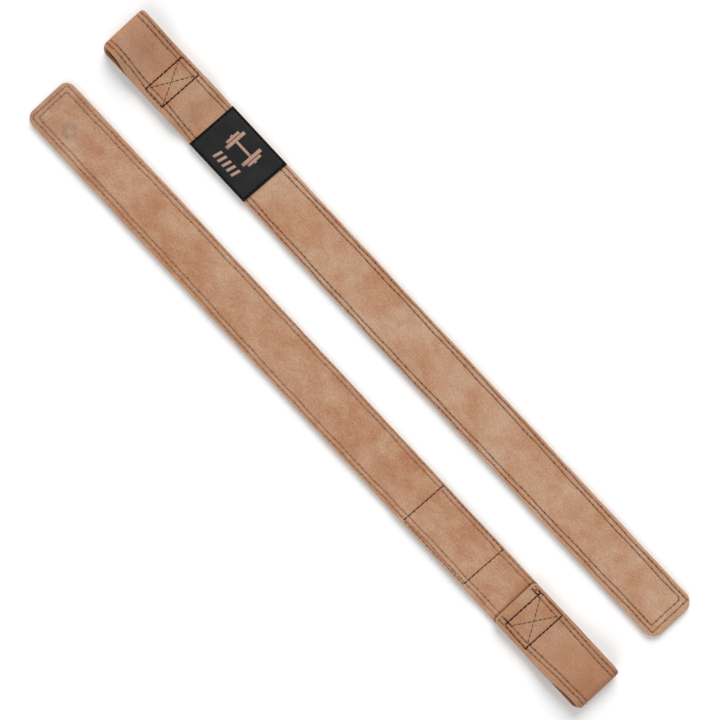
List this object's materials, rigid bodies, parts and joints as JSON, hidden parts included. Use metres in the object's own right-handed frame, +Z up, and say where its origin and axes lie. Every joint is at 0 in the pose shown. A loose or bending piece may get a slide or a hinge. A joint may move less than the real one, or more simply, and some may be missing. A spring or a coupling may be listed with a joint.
{
  "type": "lifting straps",
  "caption": "Pair of two-ply suede leather lifting straps, each with a sewn wrist loop, a label patch and a long stitched tail with a rounded tongue.",
  "frame": {"origin": "bottom centre of the pair's bounding box, on the surface the straps lie on", "axes": "+X along the straps from strap A's fold to its tongue, +Y from strap B to strap A, +Z up"},
  "size_m": [0.5644, 0.1112, 0.0124],
  "materials": {
    "front_leather": "napped suede, tan, mottled",
    "back_leather": "napped suede, slightly redder tan",
    "needle_thread": "waxed dark brown twisted thread",
    "bobbin_thread": "brown twisted thread, pulled tight",
    "box_thread": "near-black brown twisted thread",
    "label": "soft black synthetic leather",
    "label_thread": "black thread",
    "emblem_print": "flat tan print"
  },
  "bodies": {
    "strap_a_loop_end": {"strap_a_front_ply_loop_end": "front_leather", "strap_a_back_ply_loop_end": "back_leather", "strap_a_outer_row_needle_thread_loop_end": "needle_thread", "strap_a_outer_row_bobbin_thread_loop_end": "bobbin_thread", "strap_a_inner_row_needle_thread_loop_end": "needle_thread", "strap_a_inner_row_bobbin_thread_loop_end": "bobbin_thread", "strap_a_loop_box_needle_thread": "box_thread", "strap_a_loop_box_bobbin_thread": "box_thread", "strap_a_label_patch": "label", "strap_a_label_emblem": "emblem_print", "strap_a_label_needle_thread": "label_thread", "strap_a_label_bobbin_thread": "box_thread"},
    "strap_a_tail": {"strap_a_front_ply_tail": "front_leather", "strap_a_back_ply_tail": "back_leather", "strap_a_outer_row_needle_thread_tail": "needle_thread", "strap_a_outer_row_bobbin_thread_tail": "bobbin_thread", "strap_a_inner_row_needle_thread_tail": "needle_thread", "strap_a_inner_row_bobbin_thread_tail": "bobbin_thread"},
    "strap_b_loop_end": {"strap_b_front_ply_loop_end": "front_leather", "strap_b_back_ply_loop_end": "back_leather", "strap_b_outer_row_needle_thread_loop_end": "needle_thread", "strap_b_outer_row_bobbin_thread_loop_end": "bobbin_thread", "strap_b_inner_row_needle_thread_loop_end": "needle_thread", "strap_b_inner_row_bobbin_thread_loop_end": "bobbin_thread", "strap_b_loop_box_needle_thread": "box_thread", "strap_b_loop_box_bobbin_thread": "box_thread", "strap_b_label_patch": "label", "strap_b_label_emblem": "emblem_print", "strap_b_label_needle_thread": "label_thread", "strap_b_label_bobbin_thread": "box_thread"},
    "strap_b_tail": {"strap_b_front_ply_tail": "front_leather", "strap_b_back_ply_tail": "back_leather", "strap_b_outer_row_needle_thread_tail": "needle_thread", "strap_b_outer_row_bobbin_thread_tail": "bobbin_thread", "strap_b_inner_row_needle_thread_tail": "needle_thread", "strap_b_inner_row_bobbin_thread_tail": "bobbin_thread"}
  },
  "joints": [
    {"name": "strap_a_tail_flex", "type": "hinge", "parent": "strap_a_loop_end", "child": "strap_a_tail", "pos_m": [-0.08995, 0.0356, 0.0032], "axis": [0, -1, 0], "range_deg": [0, 90]},
    {"name": "strap_b_tail_flex", "type": "hinge", "parent": "strap_b_loop_end", "child": "strap_b_tail", "pos_m": [0.05635, -0.0356, 0.0032], "axis": [0, 1, 0], "range_deg": [0, 90]},
    {"name": "strap_b_lift", "type": "slide", "parent": "strap_a_loop_end", "child": "strap_b_loop_end", "axis": [0, 0, 1], "range_m": [0, 0.12]}
  ]
}
